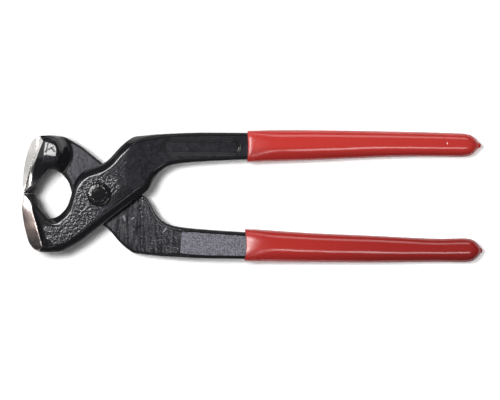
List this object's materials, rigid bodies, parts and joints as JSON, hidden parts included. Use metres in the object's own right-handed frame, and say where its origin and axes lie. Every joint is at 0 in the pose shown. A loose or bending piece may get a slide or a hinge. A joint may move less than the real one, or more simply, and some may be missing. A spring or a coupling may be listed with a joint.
{
  "type": "lap-joint pincers",
  "caption": "Forged steel pincers with crowned nipping jaws on a riveted lap joint and long handles in dipped vinyl grips, for nipping wire or clamping bands and pulling nails.",
  "frame": {"origin": "on the rivet's axis, at the flat foot of its lower head, level with the jaw cheeks the tool lies on", "axes": "+X towards the handle ends, +Y across the handles towards the front lever's handle, +Z along the rivet towards the front lever"},
  "size_m": [0.2196, 0.0632, 0.018],
  "materials": {
    "black_paint": "black paint over a grainy forging, jaws ground bright",
    "blued_steel": "black, smoother than the levers",
    "red_vinyl": "glossy dipped vinyl"
  },
  "bodies": {
    "front_half": {"front_lever": "black_paint", "pivot_rivet": "blued_steel", "front_grip": "red_vinyl"},
    "back_half": {"back_lever": "black_paint", "back_grip": "red_vinyl"}
  },
  "joints": [
    {"name": "jaw_pivot", "type": "hinge", "parent": "front_half", "child": "back_half", "pos_m": [0, 0, 0.009], "axis": [0, 0, -1], "range_deg": [0, 40]}
  ]
}
